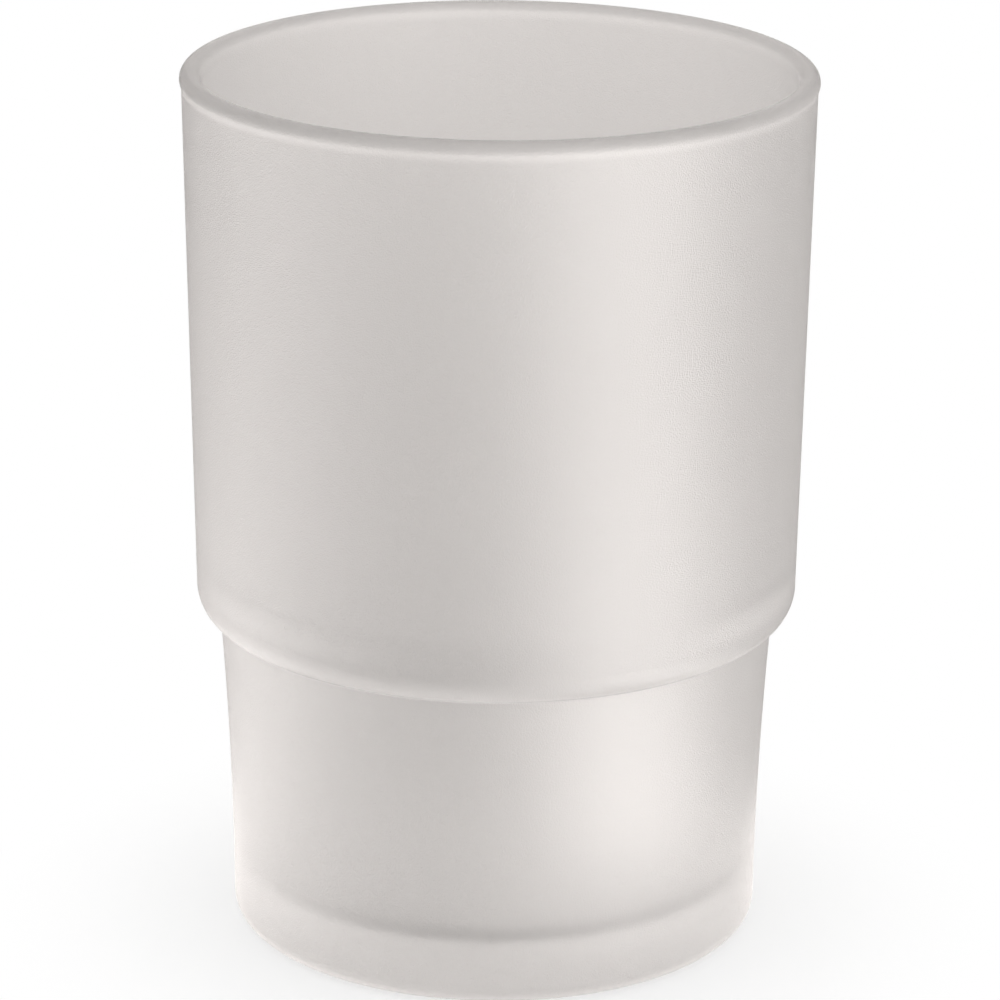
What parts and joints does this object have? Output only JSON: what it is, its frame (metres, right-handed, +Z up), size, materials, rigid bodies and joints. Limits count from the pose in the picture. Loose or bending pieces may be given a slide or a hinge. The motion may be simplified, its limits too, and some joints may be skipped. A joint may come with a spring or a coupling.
{
  "type": "bathroom tumbler",
  "caption": "Frosted glass bathroom tumbler: wide tapered body with a beaded rim, rounded shoulder, narrower neck that seats in a holder ring, and a thick base.",
  "frame": {"origin": "on the axis, in the plane of the standing ring, where the tumbler meets what it stands on", "axes": "+Z up the axis and out of the mouth; X and Y are any two square directions, because the tumbler is round"},
  "size_m": [0.07, 0.07, 0.0987],
  "materials": {
    "frosted_glass": "satin, frosted inside and out"
  },
  "bodies": {
    "root": {"glass_tumbler": "frosted_glass"}
  },
  "joints": []
}
